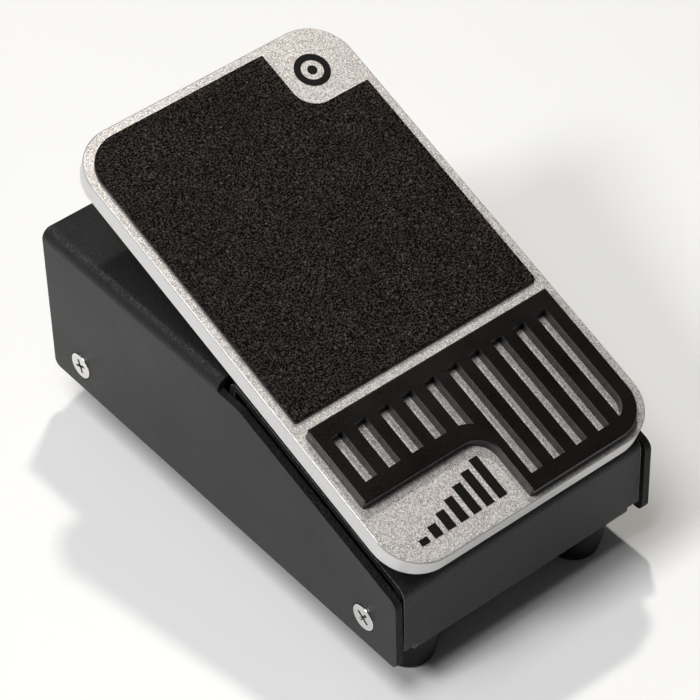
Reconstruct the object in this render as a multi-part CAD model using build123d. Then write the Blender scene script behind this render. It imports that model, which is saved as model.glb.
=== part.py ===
from build123d import *
import os
from math import acos, cos, pi, radians, sin, tan

# Volume pedal. Every piece is laid out from the chassis: x is measured from the middle, y from the
# chassis's heel edge and z from its lower edge. The last step moves all of it so that the origin is
# on the floor under the middle of the whole object. Millimetres and degrees.

# ---------------------------------------------------------------- chassis
CHASSIS_WIDTH = 60.0
CHASSIS_LENGTH = 101.3
CHASSIS_HEIGHT = 34.4
HALF_WIDTH = CHASSIS_WIDTH / 2
COVER_SHEET = 1.5
COVER_BEND = 2.5
HEEL_EDGE_HEIGHT = 16.8        # side panel's height at the heel
DECK_TILT = 19.4               # slope of the heel half
TOP_START = 48.6               # where the cover's flat top begins

PAN_SHEET = 1.2
PAN_HALF_WIDTH = 27.8
PAN_FLOOR = 0.9                # underside of the bottom plate
PAN_BEND = 1.8
PAN_INSET = 0.35               # end walls stand this far inside the panel ends
DECK_RISE = 1.0                # deck surface above the panels' sloping edges
DECK_BEND = 2.3
DECK_END = 47.7
DECK_LEVEL = 33.9              # height of the deck's short level stretch
OPENING_HALF_WIDTH = 16.2      # opening in the top that the treadle bracket comes through
OPENING_HEEL = 38.5
OPENING_TOE = 57.5

TAB_FACE = HALF_WIDTH - COVER_SHEET - 0.05
TAB_WIDTH = 11.0
TAB_HEIGHT = 11.5
SIDE_SCREWS = [(8.9, 6.3), (92.5, 5.8)]
SCREW_HEAD_RADIUS = 2.73
SCREW_RIM = 0.3                # straight part of the flat head
SCREW_CONE = 1.0
SCREW_RISE = 0.15              # head's top above the panel's face
SCREW_WELL_RADIUS = 2.95
SCREW_SHANK = 3.5
SCREW_TURNS = [52, 20, -35, 70]
M3_RADIUS = 1.5
M3_CLEARANCE = 1.6

# ---------------------------------------------------------------- feet
FOOT_DROP = 9.6                # floor to the chassis's lower edge
FOOT_TOP_RADIUS = 7.0
FOOT_BOTTOM_RADIUS = 4.7
FOOT_X = 19.9
FOOT_INSET = 8.8
FOOT_WELL = 6.0                # depth of the well under each foot for its screw
PAN_HEAD_RADIUS = 2.75
PAN_HEAD_HEIGHT = 1.8

# ---------------------------------------------------------------- treadle
PLATE_WIDTH = 59.5
PLATE_LENGTH = 100.65
PLATE_THICKNESS = 4.2
PLATE_CORNER = 8.8
PLATE_TILT = 19.83             # at rest, heel down
PLATE_OVERHANG = 3.22          # top edge at the heel, beyond the chassis
PLATE_HEEL_HEIGHT = 25.7       # the same edge's height
TRAVEL = 18.5                  # from heel down to toe down
PIVOT_Y = 49.0
PIVOT_Z = 28.6
SHAFT_RADIUS = 2.0
EAR_FACE = 14.5                # outer face of the treadle bracket's ears
EAR_SHEET = 1.5
EAR_RADIUS = 5.5
PIVOT_SHEET = 2.0
STOP_GAP = 0.1
FLANGE_RADIUS = 4.2            # bushing's flange and the friction washer next to it
CLIP_RADIUS = 3.7
GROOVE_RADIUS = 1.5            # bottom of the clip's groove in the shaft

GRIP_THICKNESS = 0.9
RIB_THICKNESS = 2.3
RIB_TOE = 31.7
SLOT_COUNT = 10
SLOT_PITCH = 5.21
SLOT_WIDTH = 2.6
FIRST_SLOT = -24.0
SLOT_TOE = 28.3
MARK_HEIGHT = 0.15
BAR_COUNT = 7
BAR_PITCH = 2.9
BAR_WIDTH = 1.8
BAR_STEP = 1.25                # each bar is this much longer than the one before

# ---------------------------------------------------------------- gear drive
MODULE = 0.75
SECTOR_TEETH = 54              # teeth that a whole wheel of this size would have
PINION_TEETH = 12
PRESSURE_ANGLE = 25.0
ADDENDUM = 0.8 * MODULE
DEDENDUM = 1.07 * MODULE
BACKLASH = 0.1
DRIVE_ANGLE = -38.0            # from the pivot to the potentiometer, above the level line
SECTOR_LOW_TOOTH = -2
SECTOR_HIGH_TOOTH = 5
SECTOR_X = (9.8, 13.0)
PINION_X = (9.6, 13.4)
HUB_X = (8.0, 9.6)

# ---------------------------------------------------------------- potentiometer and jacks
POT_RADIUS = 8.0
POT_BUSH_RADIUS = 3.5
JACK_X = 17.0
JACK_Z = 14.0
JACK_BACK = 77.0
JACK_HALF_WIDTH = 7.5
JACK_HALF_HEIGHT = 8.0
JACK_WALL = 1.5
BARREL_RADIUS = 4.75
PLUG_BORE = 3.25
BARREL_REACH = 4.0             # past the toe wall
WASHER_SHEET = 0.8
FLANGE_SHEET = 1.2             # barrel's flange behind the housing's front wall
FRONT_WALL = 2.0               # housing's front wall
LUG_TOP = 26.0
CONTACT_SHEET = 0.4
TIP_LUG = -1.5                 # lugs' places, from the jack's middle
SLEEVE_LUG = 3.5
WIRE_RADIUS = 0.55

# ---------------------------------------------------------------- worked-out places
TOE_WALL = CHASSIS_LENGTH - PAN_INSET
PAN_TOP = PAN_FLOOR + PAN_SHEET
DECK_START = HEEL_EDGE_HEIGHT + DECK_RISE
SECTOR_RADIUS = MODULE * SECTOR_TEETH / 2
PINION_RADIUS = MODULE * PINION_TEETH / 2
DRIVE_DISTANCE = SECTOR_RADIUS + PINION_RADIUS
POT_Y = PIVOT_Y + DRIVE_DISTANCE * cos(radians(DRIVE_ANGLE))
POT_Z = PIVOT_Z + DRIVE_DISTANCE * sin(radians(DRIVE_ANGLE))
TERMINAL_TOP = POT_Z + 13.0
PLATE_SIN = sin(radians(PLATE_TILT))
PLATE_COS = cos(radians(PLATE_TILT))
HEEL_SHIFT = -(TOE_WALL + BARREL_REACH - PLATE_OVERHANG) / 2

plate_plane = Plane(
    origin=(0, -PLATE_OVERHANG, PLATE_HEEL_HEIGHT),
    x_dir=(1, 0, 0),
    z_dir=(0, -PLATE_SIN, PLATE_COS),
)
deck_plane = Plane(
    origin=(0, 0, DECK_START),
    x_dir=(1, 0, 0),
    z_dir=(0, -sin(radians(DECK_TILT)), cos(radians(DECK_TILT))),
)
pivot_in_plate = plate_plane.to_local_coords(Vector(0, PIVOT_Y, PIVOT_Z))
PIVOT_V = pivot_in_plate.Y
PIVOT_N = pivot_in_plate.Z
pivot_axis = Axis((0, PIVOT_Y, PIVOT_Z), (1, 0, 0))


# ================================================================ helpers
def outline(points, radii):
    """Closed face with one fillet radius for each corner."""
    return make_face(FilletPolyline(*points, radius=radii, close=True).edges())


def rectangle(low, high):
    """Rectangle between two opposite corners."""
    width = high[0] - low[0]
    height = high[1] - low[1]
    return Pos(low[0] + width / 2, low[1] + height / 2) * Rectangle(width, height)


def disc(radius, a, b):
    return Pos(a, b) * Circle(radius)


def ring(outer, inner, a, b):
    return disc(outer, a, b) - disc(inner, a, b)


def slab_x(sketch, low, high):
    """Extrude a sketch drawn in (y, z) from x = low to x = high."""
    return extrude(Plane.YZ.offset(low) * sketch, amount=high - low)


def slab_y(sketch, low, high):
    """Extrude a sketch drawn in (x, z) from y = low to y = high."""
    return extrude(Plane.XZ.offset(-low) * sketch, amount=low - high)


def slab_z(sketch, low, high):
    """Extrude a sketch drawn in (x, y) from z = low to z = high."""
    return extrude(Plane.XY.offset(low) * sketch, amount=high - low)


def box(low, high):
    return slab_z(rectangle(low[:2], high[:2]), low[2], high[2])


def bent_strip(points, radii, thickness):
    """Side view of a bent sheet. The points run along its outer face, and it lies on their right."""
    corners = [Vector(*point) for point in points]
    legs = [after - before for before, after in zip(corners, corners[1:])]
    rights = [Vector(leg.Y, -leg.X).normalized() for leg in legs]
    inner = [corners[0] + rights[0] * thickness]
    for corner, before, after in zip(corners[1:-1], rights, rights[1:]):
        inner.append(corner + (before + after) * (thickness / (1 + before.dot(after))))
    inner.append(corners[-1] + rights[-1] * thickness)
    turns = [before.X * after.Y - before.Y * after.X for before, after in zip(legs, legs[1:])]
    inner_radii = [r + (thickness if turn > 0 else -thickness) for r, turn in zip(radii, turns)]
    edges = FilletPolyline(*corners, radius=radii).edges()
    edges += FilletPolyline(*inner, radius=inner_radii).edges()
    edges += [Edge.make_line(corners[0], inner[0]), Edge.make_line(corners[-1], inner[-1])]
    return make_face(edges)


def pan_head_screw(length, slot_depth=0.9):
    """Cross-head screw along +Z. Its head hangs below z = 0 and its shank rises from there."""
    head = Pos(0, 0, -PAN_HEAD_HEIGHT / 2) * Cylinder(PAN_HEAD_RADIUS, PAN_HEAD_HEIGHT)
    head = fillet(head.edges().sort_by(Axis.Z)[0], 0.9)
    shank = Pos(0, 0, length / 2) * Cylinder(M3_RADIUS, length)
    cross = Rectangle(2.9, 0.7) + Rectangle(0.7, 2.9)
    return head + shank - slab_z(cross, -PAN_HEAD_HEIGHT, -PAN_HEAD_HEIGHT + slot_depth)


def countersunk_screw():
    """Cross-head screw along -Z, with its flat head's top at z = 0."""
    head_height = SCREW_RIM + SCREW_CONE
    rim = Pos(0, 0, -SCREW_RIM / 2) * Cylinder(SCREW_HEAD_RADIUS, SCREW_RIM)
    rim = fillet(rim.edges().sort_by(Axis.Z)[-1], 0.15)
    cone = Pos(0, 0, -SCREW_RIM - SCREW_CONE / 2) * Cone(M3_RADIUS, SCREW_HEAD_RADIUS, SCREW_CONE)
    shank = Pos(0, 0, -head_height - SCREW_SHANK / 2) * Cylinder(M3_RADIUS, SCREW_SHANK)
    arm = Rectangle(3.1, 0.62) + Rectangle(0.62, 3.1)
    recess = slab_z(arm, -0.95, 0)
    tip = Pos(0, 0, -0.9) * Cone(0.3, 0.85, 0.7)
    return rim + cone + shank - recess - tip


def hexagon_nut(across_flats, bore, thickness):
    """Nut along +Z from z = 0, with its corners rounded off at both faces."""
    blank = extrude(RegularPolygon(across_flats / 2, 6, major_radius=False), amount=thickness)
    rounded = Pos(0, 0, thickness / 2) * Cylinder(across_flats * 0.565, thickness)
    rounded = chamfer(rounded.edges(), thickness * 0.14)
    hole = Pos(0, 0, thickness / 2) * Cylinder(bore, thickness)
    return (blank & rounded) - hole


def tube_along(points, radii, radius):
    """Round rod along straight runs joined by tangent arcs."""
    path = FilletPolyline(*points, radius=radii)
    start = Plane(origin=path @ 0, z_dir=path % 0)
    return sweep(start * Circle(radius), path=path)


def on_pan(x, y):
    return Pos(x, y, PAN_FLOOR)


# ================================================================ chassis
def treadle_opening():
    """Clearance through the deck and the cover for the treadle bracket."""
    width = 2 * OPENING_HALF_WIDTH
    length = OPENING_TOE - OPENING_HEEL
    plan = Pos(0, (OPENING_TOE + OPENING_HEEL) / 2) * RectangleRounded(width, length, 2.0)
    return slab_z(plan, 26, CHASSIS_HEIGHT + 2)


def side_outline():
    """The cover's outline seen from the side."""
    bend_line = CHASSIS_HEIGHT - COVER_BEND
    slope_end = (bend_line - HEEL_EDGE_HEIGHT) / tan(radians(DECK_TILT))
    points = [
        (0, 0),
        (CHASSIS_LENGTH, 0),
        (CHASSIS_LENGTH, CHASSIS_HEIGHT),
        (TOP_START, CHASSIS_HEIGHT),
        (TOP_START, bend_line),
        (slope_end, bend_line),
        (0, HEEL_EDGE_HEIGHT),
    ]
    return outline(points, [1.5, 1.5, 0.3, 0, 0.4, 8.0, 2.2])


def screw_places():
    """Each side screw's place, on the panel's outer face, with the local +Z pointing outwards."""
    for side in (-1, 1):
        for y, z in SIDE_SCREWS:
            yield Plane(origin=(side * HALF_WIDTH, y, z), x_dir=(0, 1, 0), z_dir=(side, 0, 0))


def cover_shell():
    walls = [
        (-HALF_WIDTH, 0),
        (-HALF_WIDTH, CHASSIS_HEIGHT),
        (HALF_WIDTH, CHASSIS_HEIGHT),
        (HALF_WIDTH, 0),
    ]
    section = bent_strip(walls, [COVER_BEND, COVER_BEND], COVER_SHEET)
    shell = slab_y(section, 0, CHASSIS_LENGTH)
    shell = shell & slab_x(side_outline(), -HALF_WIDTH, HALF_WIDTH)
    shell -= treadle_opening()
    for place in screw_places():
        shell -= place.location * screw_seat()
    return shell


def screw_seat():
    """Hole for a side screw: a straight well, and below it a cone that the flat head sits in."""
    well_depth = SCREW_RIM - SCREW_RISE
    well = Pos(0, 0, -well_depth / 2) * Cylinder(SCREW_WELL_RADIUS, well_depth)
    cone = Pos(0, 0, -well_depth - SCREW_CONE / 2) * Cone(M3_RADIUS, SCREW_HEAD_RADIUS, SCREW_CONE)
    through = Pos(0, 0, -COVER_SHEET) * Cylinder(M3_RADIUS, COVER_SHEET)
    return well + cone + through


def pan_profile():
    """The pan's sheet from the side: toe wall, bottom, heel wall, deck and the deck's end flange."""
    slope = tan(radians(DECK_TILT))
    level_start = (DECK_LEVEL - DECK_START) / slope
    points = [
        (TOE_WALL, CHASSIS_HEIGHT - COVER_SHEET - 0.3),
        (TOE_WALL, PAN_FLOOR),
        (PAN_INSET, PAN_FLOOR),
        (PAN_INSET, DECK_START + PAN_INSET * slope),
        (level_start, DECK_LEVEL),
        (DECK_END, DECK_LEVEL),
        (DECK_END, DECK_LEVEL - 6.5),
    ]
    return bent_strip(points, [PAN_BEND, PAN_BEND, DECK_BEND, 2.0, 1.6], PAN_SHEET)


def screw_tab(side, y):
    """Tab that bends up from the bottom plate behind a side screw."""
    points = [(side * TAB_FACE, TAB_HEIGHT), (side * TAB_FACE, PAN_FLOOR), (side * 22, PAN_FLOOR)]
    section = bent_strip(points, [PAN_BEND], side * PAN_SHEET)
    tab = slab_y(section, y - TAB_WIDTH / 2, y + TAB_WIDTH / 2)
    return fillet(tab.edges().filter_by(Axis.X).group_by(Axis.Z)[-1], 2.0)


def corner_relief(side, y_low, y_high):
    """Notch at the foot of an end wall, where the bend stops short of the side."""
    width = 2.7
    x_low, x_high = sorted([side * (PAN_HALF_WIDTH - width), side * (PAN_HALF_WIDTH + 1)])
    return box((x_low, y_low, 0), (x_high, y_high, 3.1))


def foot_places():
    """Each foot's name and middle."""
    for row, y in (("heel", FOOT_INSET), ("toe", CHASSIS_LENGTH - FOOT_INSET)):
        for column, x in (("left", -FOOT_X), ("right", FOOT_X)):
            yield f"foot_{row}_{column}", x, y


def pivot_screw_places():
    return [(x, y) for x in (-12, 12) for y in (43.5, 54.5)]


def pot_screw_places():
    return [(-5.5, POT_Y - 4.8), (-5.5, POT_Y + 4.8)]


def base_pan():
    pan = slab_x(pan_profile(), -PAN_HALF_WIDTH, PAN_HALF_WIDTH)
    pan -= treadle_opening()
    flange_gap = 21.5
    pan -= box((-flange_gap, DECK_END - 4, 26), (flange_gap, DECK_END + 1, DECK_LEVEL - PAN_SHEET))
    for side in (-1, 1):
        pan -= corner_relief(side, -1, PAN_INSET + PAN_BEND + 1)
        pan -= corner_relief(side, TOE_WALL - PAN_BEND - 1, TOE_WALL + 1)
        for y, _ in SIDE_SCREWS:
            pan += screw_tab(side, y)
        pan -= slab_y(disc(BARREL_RADIUS + 0.15, side * JACK_X, JACK_Z), TOE_WALL - 3, TOE_WALL + 1)
    for place in screw_places():
        pan -= place.location * Pos(0, 0, -4) * Cylinder(M3_RADIUS, 8)
    bolts = [(x, y) for _, x, y in foot_places()] + pivot_screw_places() + pot_screw_places()
    for x, y in bolts:
        pan -= slab_z(disc(M3_CLEARANCE, x, y), 0, PAN_TOP + 1)
    return pan


def side_screws():
    screws = []
    for place, turn in zip(screw_places(), SCREW_TURNS):
        screws.append(place.location * Pos(0, 0, SCREW_RISE) * Rot(0, 0, turn) * countersunk_screw())
    return screws


def rubber_foot(x, y):
    """Tapered round foot with a well for its screw's head."""
    height = FOOT_DROP + PAN_FLOOR
    body = Cone(FOOT_BOTTOM_RADIUS, FOOT_TOP_RADIUS, height)
    body = fillet(body.edges().sort_by(Axis.Z)[0], 1.0)
    body = fillet(body.edges().sort_by(Axis.Z)[-1], 0.9)
    well = Pos(0, 0, -height / 2) * Cylinder(PAN_HEAD_RADIUS + 0.3, 2 * FOOT_WELL)
    hole = Cylinder(M3_CLEARANCE, height)
    return Pos(x, y, PAN_FLOOR - height / 2) * (body - well - hole)


def foot_screws():
    seat = FOOT_DROP + PAN_FLOOR - FOOT_WELL
    return [Pos(x, y, PAN_FLOOR - seat) * pan_head_screw(seat + 4.6) for _, x, y in foot_places()]


def foot_nuts():
    return [Pos(x, y, PAN_TOP) * hexagon_nut(5.5, M3_RADIUS, 2.4) for _, x, y in foot_places()]


# ================================================================ pivot
def pivot_bracket():
    """U-shaped bracket on the bottom plate, with an ear on each side for the shaft."""
    inside = EAR_FACE + 2.0
    sheet = PIVOT_SHEET
    outside = inside + sheet
    top = PIVOT_Z + 3.6
    walls = [(outside, top), (outside, PAN_TOP), (-outside, PAN_TOP), (-outside, top)]
    bracket = slab_y(bent_strip(walls, [3.0, 3.0], sheet), PIVOT_Y - 9, PIVOT_Y + 9)
    ear = [
        (PIVOT_Y - 9, PAN_TOP),
        (PIVOT_Y + 9, PAN_TOP),
        (PIVOT_Y + 9, PAN_TOP + 6),
        (PIVOT_Y + 3.6, PIVOT_Z),
        (PIVOT_Y - 3.6, PIVOT_Z),
        (PIVOT_Y - 9, PAN_TOP + 6),
    ]
    side = outline(ear, [0, 0, 2.0, 0, 0, 2.0]) + disc(3.6, PIVOT_Y, PIVOT_Z)
    bracket = bracket & slab_x(side, -outside, outside)
    bracket -= slab_x(disc(SHAFT_RADIUS, PIVOT_Y, PIVOT_Z), -outside, outside)
    for x, y in pivot_screw_places():
        bracket -= slab_z(disc(M3_RADIUS, x, y), PAN_TOP, PAN_TOP + sheet)
    return bracket


def pivot_bracket_screws():
    return [on_pan(x, y) * pan_head_screw(4.2) for x, y in pivot_screw_places()]


def pivot_shaft():
    end = 20.2
    shaft = slab_x(disc(SHAFT_RADIUS, PIVOT_Y, PIVOT_Z), -end, end)
    shaft = chamfer(shaft.edges(), 0.3)
    groove = ring(SHAFT_RADIUS + 0.5, GROOVE_RADIUS, PIVOT_Y, PIVOT_Z)
    for low in (-19.3, 18.6):
        shaft -= slab_x(groove, low, low + 0.7)
    return shaft


def shaft_clips():
    """Two open retaining rings in the shaft's grooves."""
    shape = ring(CLIP_RADIUS, GROOVE_RADIUS, PIVOT_Y, PIVOT_Z)
    shape -= rectangle((PIVOT_Y - 1.2, PIVOT_Z - 5), (PIVOT_Y + 1.2, PIVOT_Z))
    return [slab_x(shape, low, low + 0.5) for low in (-19.2, 18.7)]


def thrust_washers():
    """Friction washers between the bushings' flanges and the fixed ears."""
    shape = ring(FLANGE_RADIUS, SHAFT_RADIUS + 0.05, PIVOT_Y, PIVOT_Z)
    return [slab_x(shape, *sorted([side * 15.7, side * 16.4])) for side in (-1, 1)]


def bushing(side):
    """Flanged bushing in one ear of the treadle bracket."""
    inner = SHAFT_RADIUS + 0.05
    sleeve = slab_x(ring(3.0, inner, PIVOT_Y, PIVOT_Z), *sorted([side * 13.0, side * EAR_FACE]))
    flange = slab_x(ring(FLANGE_RADIUS, inner, PIVOT_Y, PIVOT_Z), *sorted([side * EAR_FACE, side * 15.6]))
    return sleeve + flange


# ================================================================ treadle
def in_plate(shape):
    """Place a shape that is drawn on the plate: x across, y from the heel edge, z off its top."""
    return plate_plane.location * shape


def treadle_plate():
    plan = Pos(0, PLATE_LENGTH / 2) * RectangleRounded(PLATE_WIDTH, PLATE_LENGTH, PLATE_CORNER)
    plate = slab_z(plan, -PLATE_THICKNESS, 0)
    plate = fillet(plate.faces().sort_by(Axis.Z)[-1].edges(), 0.25)
    plate = fillet(plate.faces().sort_by(Axis.Z)[0].edges(), 0.3)
    for x, y in plate_screw_places():
        plate -= slab_z(disc(M3_RADIUS, x, y), -PLATE_THICKNESS, -0.9)
    return in_plate(plate)


def plate_screw_places():
    return [(x, PIVOT_V + y) for x in (-8, 8) for y in (-9.5, 9.5)]


def treadle_bracket():
    """U-shaped bracket under the plate, with an ear on each side that hangs down to the shaft."""
    under = -PLATE_THICKNESS
    low = PIVOT_N - EAR_RADIUS
    walls = [(-EAR_FACE, low), (-EAR_FACE, under), (EAR_FACE, under), (EAR_FACE, low)]
    bracket = slab_y(bent_strip(walls, [2.0, 2.0], EAR_SHEET), PIVOT_V - 13, PIVOT_V + 13)
    ear = [
        (PIVOT_V - 13, under),
        (PIVOT_V + 13, under),
        (PIVOT_V + 13, under - 2.2),
        (PIVOT_V + 7, under - 2.2),
        (PIVOT_V + EAR_RADIUS, PIVOT_N),
        (PIVOT_V - EAR_RADIUS, PIVOT_N),
        (PIVOT_V - 7, under - 2.2),
        (PIVOT_V - 13, under - 2.2),
    ]
    side = outline(ear, [0, 0, 0, 1.2, 0, 0, 1.2, 0]) + disc(EAR_RADIUS, PIVOT_V, PIVOT_N)
    bracket = bracket & slab_x(side, -EAR_FACE, EAR_FACE)
    bracket -= slab_x(disc(3.0, PIVOT_V, PIVOT_N), -EAR_FACE, EAR_FACE)
    for x, y in plate_screw_places():
        bracket -= slab_z(disc(M3_CLEARANCE, x, y), under - EAR_SHEET, under)
    for y, z in sector_screw_places():
        bracket -= slab_x(disc(1.3, y, z), 0, EAR_FACE)
    return in_plate(bracket)


def bracket_screws():
    seat = -PLATE_THICKNESS - EAR_SHEET
    return [in_plate(Pos(x, y, seat) * pan_head_screw(4.2)) for x, y in plate_screw_places()]


def grip_pad():
    left, right = -28.0, 27.6
    heel, toe = 34.4, 98.6
    notch_x, notch_y = 13.7, 84.4
    points = [
        (left, heel),
        (right, heel),
        (right, notch_y),
        (notch_x, notch_y),
        (notch_x, toe),
        (left, toe),
    ]
    pad = slab_z(outline(points, [0.35, 0.8, 0.4, 4.6, 0.4, 7.4]), 0, GRIP_THICKNESS)
    return in_plate(fillet(pad.faces().sort_by(Axis.Z)[-1].edges(), 0.2))


def slot_bars():
    """The ribbed pad's slots: straight bars, cut short where the pad's outline curves."""
    first_right = FIRST_SLOT + 5 * SLOT_PITCH
    left = FIRST_SLOT - SLOT_WIDTH
    middle = first_right - SLOT_WIDTH / 2
    right = FIRST_SLOT + (SLOT_COUNT - 1) * SLOT_PITCH + SLOT_WIDTH / 2
    area = outline(
        [(left, SLOT_TOE), (right, SLOT_TOE), (right, 4.0), (middle, 4.0), (middle, 18.3), (left, 18.3)],
        [0, 0, 4.0, 0, 6.5, 0],
    )
    bars = Sketch()
    for index in range(SLOT_COUNT):
        centre = FIRST_SLOT + index * SLOT_PITCH
        bars += rectangle((centre - SLOT_WIDTH / 2, 0), (centre + SLOT_WIDTH / 2, RIB_TOE))
    return bars & area


def ribbed_pad():
    left, right = -27.95, 26.95
    heel, step_x, step_y = 0.95, -1.2, 14.9
    points = [
        (left, RIB_TOE),
        (right, RIB_TOE),
        (right, heel),
        (step_x, heel),
        (step_x, step_y),
        (left, step_y),
    ]
    pad = slab_z(outline(points, [0.6, 0.35, 7.2, 0.5, 4.5, 0.5]) - slot_bars(), 0, RIB_THICKNESS)
    return in_plate(fillet(pad.faces().sort_by(Axis.Z)[-1].outer_wire().edges(), 0.25))


def heel_mark():
    """Row of bars that grow from left to right, as a plain sign for rising volume."""
    first, foot = -23.5, 3.8
    bars = []
    for step in range(BAR_COUNT):
        low = first + BAR_PITCH * step
        bar = rectangle((low, foot), (low + BAR_WIDTH, foot + BAR_STEP * (step + 1)))
        bars.append(in_plate(slab_z(bar, 0, MARK_HEIGHT)))
    return bars


def toe_mark():
    """Ring with a dot in it."""
    x, y = 20.3, 91.6
    shape = ring(3.5, 2.2, x, y) + disc(0.95, x, y)
    return in_plate(slab_z(shape, 0, MARK_HEIGHT))


def below_plate(tilt_change):
    """Everything above the stop surface under the plate, when the treadle has moved by tilt_change."""
    block = in_plate(box((-40, -20, -PLATE_THICKNESS - STOP_GAP), (40, 120, 60)))
    return block.rotate(pivot_axis, -tilt_change)


def heel_bumper():
    block = deck_plane.location * box((-12, 7.5, 0), (12, 15.5, 8))
    bumper = block - below_plate(0)
    return fillet(bumper.edges().group_by(Axis.Z)[-1], 0.3)


def toe_bumper():
    block = box((-11, 84, CHASSIS_HEIGHT), (11, 92, CHASSIS_HEIGHT + 10))
    bumper = block - below_plate(TRAVEL)
    return fillet(bumper.edges().group_by(Axis.Z)[-1], 0.3)


# ================================================================ gear drive
def tooth(teeth, centre_angle):
    """One involute tooth of a wheel centred on the origin, drawn in (y, z)."""
    pitch_radius = MODULE * teeth / 2
    base = pitch_radius * cos(radians(PRESSURE_ANGLE))
    root = pitch_radius - DEDENDUM
    tip = pitch_radius + ADDENDUM
    start = max(base, root)
    pitch_roll = tan(radians(PRESSURE_ANGLE)) - radians(PRESSURE_ANGLE)
    half_at_pitch = pi / (2 * teeth) - BACKLASH / (4 * pitch_radius)
    flank = [(root - 0.3, 0.0)]
    steps = 5
    for index in range(steps + 1):
        radius = start + (tip - start) * index / steps
        roll_angle = acos(min(base / radius, 1))
        flank.append((radius, half_at_pitch + pitch_roll - (tan(roll_angle) - roll_angle)))
    flank[0] = (root - 0.3, flank[1][1])
    middle = radians(centre_angle)
    left = [(r * cos(middle + a), r * sin(middle + a)) for r, a in flank]
    right = [(r * cos(middle - a), r * sin(middle - a)) for r, a in reversed(flank)]
    return make_face(Polyline(*left, *right, close=True).edges())


def sector_screw_places():
    """In the plate's own (y, z)."""
    return [(PIVOT_V - 3.6, PIVOT_N + 5.4), (PIVOT_V + 3.6, PIVOT_N + 5.4)]


def sector_gear():
    """Toothed sector that hangs from the treadle bracket's right ear."""
    root = SECTOR_RADIUS - DEDENDUM
    pitch_angle = 360 / SECTOR_TEETH
    low = DRIVE_ANGLE + (SECTOR_LOW_TOOTH - 0.7) * pitch_angle
    high = DRIVE_ANGLE + (SECTOR_HIGH_TOOTH + 0.7) * pitch_angle
    far = 2 * SECTOR_RADIUS
    edges = [(far * cos(radians(angle)), far * sin(radians(angle))) for angle in (low, high)]
    shape = Circle(root) & make_face(Polyline((0, 0), *edges, close=True).edges())
    window = Circle(root - 3.5) - Circle(9.5)
    window_low, window_high = low + 13, high - 13
    rays = [(far * cos(radians(angle)), far * sin(radians(angle))) for angle in (window_low, window_high)]
    shape -= window & make_face(Polyline((0, 0), *rays, close=True).edges())
    shape += Circle(7.0)
    shape += Rot(0, 0, PLATE_TILT) * rectangle((-6.2, 0), (6.2, 8.0))
    for number in range(SECTOR_LOW_TOOTH, SECTOR_HIGH_TOOTH + 1):
        shape += tooth(SECTOR_TEETH, DRIVE_ANGLE + number * pitch_angle)
    gear = slab_x(Pos(PIVOT_Y, PIVOT_Z) * shape, *SECTOR_X)
    gear -= slab_x(disc(SHAFT_RADIUS + 0.4, PIVOT_Y, PIVOT_Z), *SECTOR_X)
    for y, z in sector_screw_places():
        gear -= in_plate(slab_x(disc(1.25, y, z), *SECTOR_X))
    return gear


def sector_screws():
    """Two small cheese-head screws through the ear into the sector."""
    screws = []
    for y, z in sector_screw_places():
        shank = slab_x(disc(1.25, y, z), SECTOR_X[0], EAR_FACE)
        head = slab_x(disc(1.9, y, z), EAR_FACE, EAR_FACE + 1.0)
        slot = slab_x(rectangle((y - 2, z - 0.25), (y + 2, z + 0.25)), EAR_FACE + 0.5, EAR_FACE + 1.0)
        screws.append(in_plate(shank + head - slot))
    return screws


def pinion_gear():
    """Pinion with a hub, in mesh with the sector at rest."""
    shape = Circle(PINION_RADIUS - DEDENDUM)
    pitch_angle = 360 / PINION_TEETH
    for number in range(PINION_TEETH):
        shape += tooth(PINION_TEETH, DRIVE_ANGLE + 180 + (number + 0.5) * pitch_angle)
    gear = slab_x(Pos(POT_Y, POT_Z) * shape, *PINION_X)
    gear += slab_x(disc(3.6, POT_Y, POT_Z), *HUB_X)
    gear -= slab_x(disc(SHAFT_RADIUS, POT_Y, POT_Z), HUB_X[0], PINION_X[1])
    return gear - slab_z(disc(0.75, sum(HUB_X) / 2, POT_Y), POT_Z, POT_Z + 5)


def pinion_set_screw():
    return slab_z(disc(0.75, sum(HUB_X) / 2, POT_Y), POT_Z + SHAFT_RADIUS, POT_Z + 3.7)


# ================================================================ potentiometer
def pot_shaft():
    shaft = slab_x(disc(SHAFT_RADIUS, POT_Y, POT_Z), -1.9, 14.0)
    return chamfer(shaft.edges().group_by(Axis.X)[-1], 0.4)


def pot_wiper():
    """Rotor with two spring fingers that sweep the track."""
    rotor = slab_x(ring(5.4, SHAFT_RADIUS, POT_Y, POT_Z), -1.7, -0.9)
    for turn in (-18, 18):
        finger = Pos(POT_Y, POT_Z) * Rot(0, 0, 90 + turn) * rectangle((3.4, -0.6), (5.3, 0.6))
        rotor += slab_x(finger, -0.9, 0.1)
    return rotor


def pot_base():
    base = slab_x(disc(POT_RADIUS, POT_Y, POT_Z), 1.0, 3.0)
    base += slab_x(disc(POT_BUSH_RADIUS, POT_Y, POT_Z), 3.0, 7.7)
    return base - slab_x(disc(SHAFT_RADIUS + 0.05, POT_Y, POT_Z), 1.0, 7.7)


def pot_can():
    can = slab_x(disc(POT_RADIUS, POT_Y, POT_Z), -6.0, 1.0)
    can = fillet(can.edges().group_by(Axis.X)[0], 0.8)
    can -= slab_x(disc(POT_RADIUS - 0.5, POT_Y, POT_Z), -5.5, 1.0)
    window = box((-0.6, POT_Y - 6.4, POT_Z + 3), (1.0, POT_Y + 6.4, POT_Z + 9))
    return can - window


def pot_terminal_places():
    return [POT_Y - 5, POT_Y, POT_Y + 5]


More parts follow.
